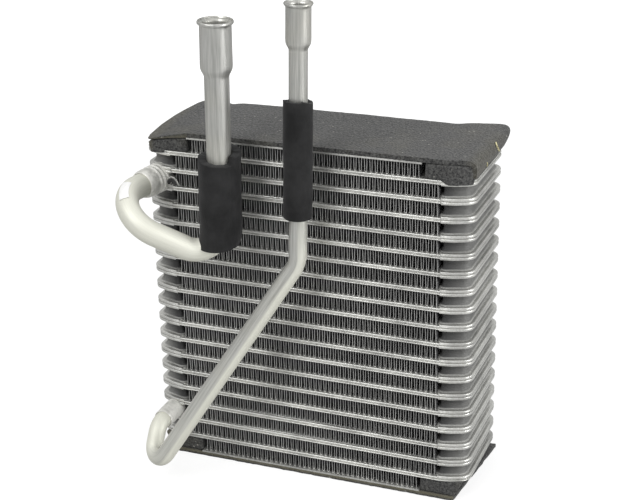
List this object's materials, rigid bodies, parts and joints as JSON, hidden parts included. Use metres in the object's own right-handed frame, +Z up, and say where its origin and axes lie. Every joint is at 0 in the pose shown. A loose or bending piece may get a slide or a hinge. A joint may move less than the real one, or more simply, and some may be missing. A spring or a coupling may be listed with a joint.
{
  "type": "evaporator core",
  "caption": "Laminated plate and fin evaporator core with tank ends formed by drawn cups, foam packing, and two bent refrigerant pipes with flared coupling sockets.",
  "frame": {"origin": "centre of the underside of the bottom foam pad, which the core stands on", "axes": "+X from the tank with the pipe ports towards the other tank, +Y from the pipe side to the rear along the air's path, +Z up the stack towards the pipe couplings"},
  "size_m": [0.239, 0.136, 0.3411],
  "materials": {
    "plate_aluminium": "satin",
    "fin_aluminium": "satin",
    "pipe_aluminium": "satin",
    "collar_aluminium": "matt",
    "packing_foam": "open-cell foam, dusty",
    "sleeve_foam": "closed-cell foam",
    "label_paper": "plain"
  },
  "bodies": {
    "root": {"flat_tube_01": "plate_aluminium", "flat_tube_02": "plate_aluminium", "flat_tube_03": "plate_aluminium", "flat_tube_04": "plate_aluminium", "flat_tube_05": "plate_aluminium", "flat_tube_06": "plate_aluminium", "flat_tube_07": "plate_aluminium", "flat_tube_08": "plate_aluminium", "flat_tube_09": "plate_aluminium", "flat_tube_10": "plate_aluminium", "flat_tube_11": "plate_aluminium", "flat_tube_12": "plate_aluminium", "flat_tube_13": "plate_aluminium", "flat_tube_14": "plate_aluminium", "flat_tube_15": "plate_aluminium", "flat_tube_16": "plate_aluminium", "flat_tube_17": "plate_aluminium", "flat_tube_18": "plate_aluminium", "fin_row_01": "fin_aluminium", "fin_row_02": "fin_aluminium", "fin_row_03": "fin_aluminium", "fin_row_04": "fin_aluminium", "fin_row_05": "fin_aluminium", "fin_row_06": "fin_aluminium", "fin_row_07": "fin_aluminium", "fin_row_08": "fin_aluminium", "fin_row_09": "fin_aluminium", "fin_row_10": "fin_aluminium", "fin_row_11": "fin_aluminium", "fin_row_12": "fin_aluminium", "fin_row_13": "fin_aluminium", "fin_row_14": "fin_aluminium", "fin_row_15": "fin_aluminium", "fin_row_16": "fin_aluminium", "fin_row_17": "fin_aluminium", "fin_row_18": "fin_aluminium", "fin_row_19": "fin_aluminium", "top_end_plate": "plate_aluminium", "bottom_end_plate": "plate_aluminium", "top_foam_pad": "packing_foam", "bottom_foam_pad": "packing_foam", "top_left_foam_block": "packing_foam", "top_right_foam_block": "packing_foam", "bottom_left_foam_block": "packing_foam", "bottom_right_foam_block": "packing_foam", "suction_pipe": "pipe_aluminium", "liquid_pipe": "pipe_aluminium", "suction_port_collar": "collar_aluminium", "liquid_port_collar": "collar_aluminium", "suction_foam_sleeve": "sleeve_foam", "liquid_foam_sleeve": "sleeve_foam", "blank_label": "label_paper"}
  },
  "joints": []
}
